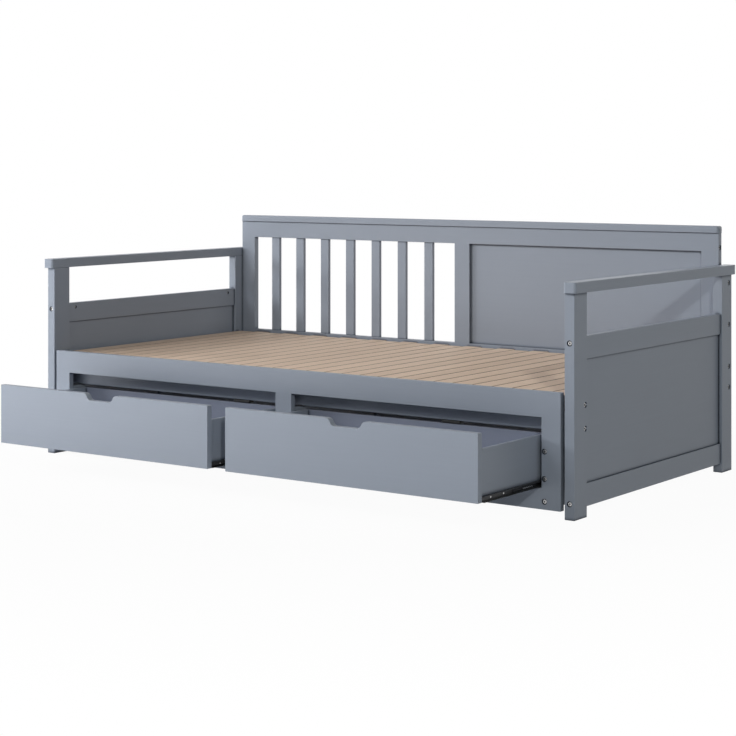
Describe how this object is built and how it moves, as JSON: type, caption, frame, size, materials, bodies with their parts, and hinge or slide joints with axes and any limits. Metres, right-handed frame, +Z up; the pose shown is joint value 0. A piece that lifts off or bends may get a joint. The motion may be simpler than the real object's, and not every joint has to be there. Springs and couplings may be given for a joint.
{
  "type": "extendable daybed with two drawers",
  "caption": "Slatted wooden daybed with arms and a half-slatted, half-panelled backrest; its front frame pulls out to double the deck and holds two drawers on telescopic slides.",
  "frame": {"origin": "on the floor, at the middle of the object's box as it stands with both drawers partly open", "axes": "+X to the bed's right as one faces its drawers, +Y to the backrest, +Z up"},
  "size_m": [2.01, 1.347, 0.7683],
  "materials": {
    "painted_wood": "satin grey-blue paint over smooth wood",
    "natural_wood": "planed pale wood, clear matt",
    "black_steel": "black coated steel",
    "black_plastic": "black moulded plastic",
    "zinc_steel": "zinc-plated bolts, barrel nuts and screws"
  },
  "bodies": {
    "bed_frame": {"left_front_post": "painted_wood", "left_rear_post": "painted_wood", "left_arm_cap": "painted_wood", "left_arm_upper_rail": "painted_wood", "left_arm_lower_rail": "painted_wood", "left_arm_panel": "painted_wood", "right_front_post": "painted_wood", "right_rear_post": "painted_wood", "right_arm_cap": "painted_wood", "right_arm_upper_rail": "painted_wood", "right_arm_lower_rail": "painted_wood", "right_arm_panel": "painted_wood", "backrest_cap": "painted_wood", "backrest_top_rail": "painted_wood", "backrest_bottom_rail": "painted_wood", "backrest_left_stile": "painted_wood", "backrest_centre_stile": "painted_wood", "backrest_right_stile": "painted_wood", "backrest_panel": "painted_wood", "backrest_slats": "painted_wood", "front_beam": "painted_wood", "fixed_deck_slats": "natural_wood"},
    "pullout_frame": {"pullout_left_stile": "painted_wood", "pullout_right_stile": "painted_wood", "pullout_centre_stile": "painted_wood", "pullout_top_rail": "painted_wood", "pullout_bottom_rail": "painted_wood", "drawer_support_left": "painted_wood", "drawer_support_centre_left": "painted_wood", "drawer_support_centre_right": "painted_wood", "drawer_support_right": "painted_wood", "support_stretcher": "painted_wood", "moving_deck_slats": "natural_wood", "left_outer_slide_board_member": "black_steel", "left_inner_slide_board_member": "black_steel", "right_outer_slide_board_member": "black_steel", "right_inner_slide_board_member": "black_steel", "left_wheel_bracket": "black_steel", "right_wheel_bracket": "black_steel", "centre_glide_foot": "black_plastic"},
    "left_drawer": {"left_drawer_front": "painted_wood", "left_drawer_outer_side": "painted_wood", "left_drawer_inner_side": "painted_wood", "left_drawer_back": "painted_wood", "left_drawer_bottom": "painted_wood", "left_outer_slide_drawer_member": "black_steel", "left_inner_slide_drawer_member": "black_steel"},
    "right_drawer": {"right_drawer_front": "painted_wood", "right_drawer_outer_side": "painted_wood", "right_drawer_inner_side": "painted_wood", "right_drawer_back": "painted_wood", "right_drawer_bottom": "painted_wood", "right_outer_slide_drawer_member": "black_steel", "right_inner_slide_drawer_member": "black_steel"},
    "left_slide_middles": {"left_outer_slide_middle_member": "black_steel", "left_inner_slide_middle_member": "black_steel"},
    "right_slide_middles": {"right_outer_slide_middle_member": "black_steel", "right_inner_slide_middle_member": "black_steel"},
    "left_roller": {"left_wheel": "black_plastic"},
    "right_roller": {"right_wheel": "black_plastic"}
  },
  "joints": [
    {"name": "frame_pullout", "type": "slide", "parent": "bed_frame", "child": "pullout_frame", "axis": [0, -1, 0], "range_m": [0, 0.8395]},
    {"name": "left_drawer_slide", "type": "slide", "parent": "pullout_frame", "child": "left_drawer", "axis": [0, -1, 0], "range_m": [-0.315, 0.035]},
    {"name": "right_drawer_slide", "type": "slide", "parent": "pullout_frame", "child": "right_drawer", "axis": [0, -1, 0], "range_m": [-0.315, 0.035]},
    {"name": "left_middles_slide", "type": "slide", "parent": "pullout_frame", "child": "left_slide_middles", "axis": [0, -1, 0], "range_m": [-0.1575, 0.0175]},
    {"name": "right_middles_slide", "type": "slide", "parent": "pullout_frame", "child": "right_slide_middles", "axis": [0, -1, 0], "range_m": [-0.1575, 0.0175]},
    {"name": "left_wheel_spin", "type": "hinge", "parent": "pullout_frame", "child": "left_roller", "pos_m": [-0.881, -0.1692, 0.025], "axis": [1, 0, 0], "continuous": true},
    {"name": "right_wheel_spin", "type": "hinge", "parent": "pullout_frame", "child": "right_roller", "pos_m": [0.881, -0.1692, 0.025], "axis": [1, 0, 0], "continuous": true}
  ],
  "couplings": [
    {"joint": "left_middles_slide", "follows": "left_drawer_slide", "ratio": 0.5},
    {"joint": "right_middles_slide", "follows": "right_drawer_slide", "ratio": 0.5}
  ]
}
